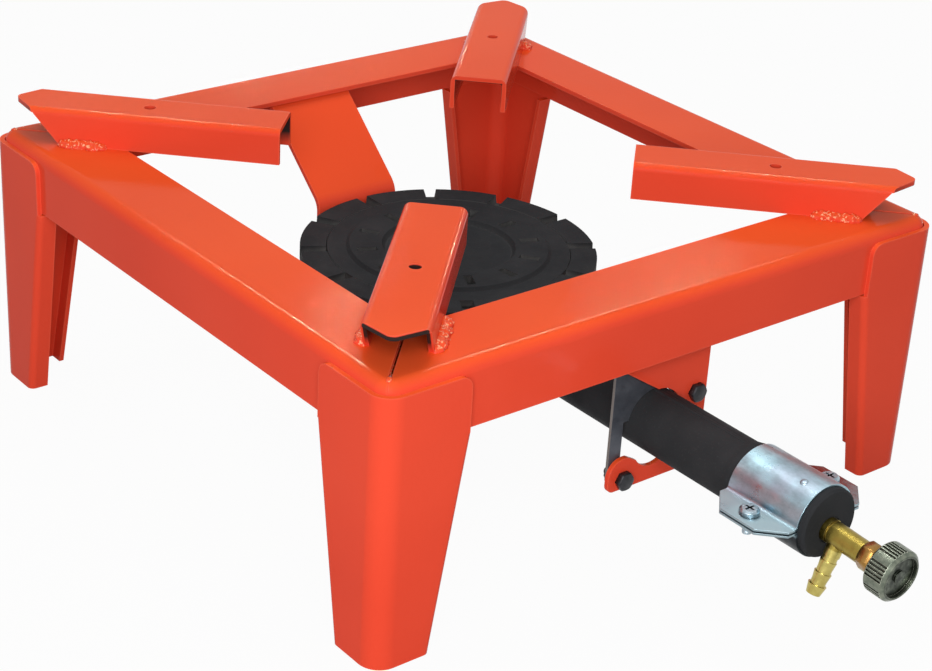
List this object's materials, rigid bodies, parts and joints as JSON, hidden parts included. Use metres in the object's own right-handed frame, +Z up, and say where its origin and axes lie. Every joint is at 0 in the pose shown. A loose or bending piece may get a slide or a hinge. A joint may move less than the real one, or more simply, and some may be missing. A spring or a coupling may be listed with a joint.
{
  "type": "gas burner stove",
  "caption": "Square folded-steel stand holding a cast ring burner on a long mixing tube, with a sliding air sleeve and a brass needle valve; pots rest on the corner channels.",
  "frame": {"origin": "on the floor, under the middle of the square top frame", "axes": "+Z up; the mixing tube runs out along -Y to the valve, +X to the right seen from the valve"},
  "size_m": [0.406, 0.5727, 0.188],
  "materials": {
    "orange_paint": "glossy orange paint",
    "bare_steel": "dark bare sheet steel",
    "black_steel": "black oxide",
    "cast_iron": "matt black casting",
    "zinc_sheet": "bright zinc plate",
    "zinc_screw": "bright zinc plate",
    "brass": "turned brass",
    "packing": "black packing ring",
    "knob_zinc": "grey-green cast zinc"
  },
  "bodies": {
    "stove": {"front_rail": "orange_paint", "rear_rail": "orange_paint", "left_rail": "orange_paint", "right_rail": "orange_paint", "leg_front_left": "orange_paint", "leg_front_right": "orange_paint", "leg_rear_left": "orange_paint", "leg_rear_right": "orange_paint", "support_front_left": "orange_paint", "support_front_right": "orange_paint", "support_rear_left": "orange_paint", "support_rear_right": "orange_paint", "rear_strap": "orange_paint", "burner_hanger": "orange_paint", "saddle_plate": "bare_steel", "strap_bolt": "black_steel", "hanger_bolts": "black_steel", "hanger_nuts": "black_steel", "burner_body": "cast_iron", "valve_body": "brass", "gas_jet": "brass", "gland_nut": "brass", "gland_packing": "packing"},
    "air_sleeve": {"air_sleeve_upper": "zinc_sheet", "air_sleeve_lower": "zinc_sheet", "sleeve_screws": "zinc_screw", "sleeve_nuts": "zinc_screw"},
    "cap": {"burner_cap": "cast_iron"},
    "spindle": {"valve_spindle": "brass"},
    "knob": {"valve_knob": "knob_zinc"}
  },
  "joints": [
    {"name": "air_sleeve_slide", "type": "slide", "parent": "stove", "child": "air_sleeve", "axis": [0, 1, 0], "range_m": [0, 0.03]},
    {"name": "cap_lift", "type": "slide", "parent": "stove", "child": "cap", "axis": [0, 0, 1], "range_m": [0, 0.09]},
    {"name": "spindle_travel", "type": "slide", "parent": "stove", "child": "spindle", "axis": [0, -0.9981, -0.061], "range_m": [0, 0.002]},
    {"name": "knob_turn", "type": "hinge", "parent": "spindle", "child": "knob", "pos_m": [0, -0.36092, 0.07744], "axis": [0, -0.9981, -0.061], "range_deg": [0, 720.5]}
  ],
  "couplings": [
    {"joint": "knob_turn", "follows": "spindle_travel", "rad_per_m": 6283.2}
  ]
}
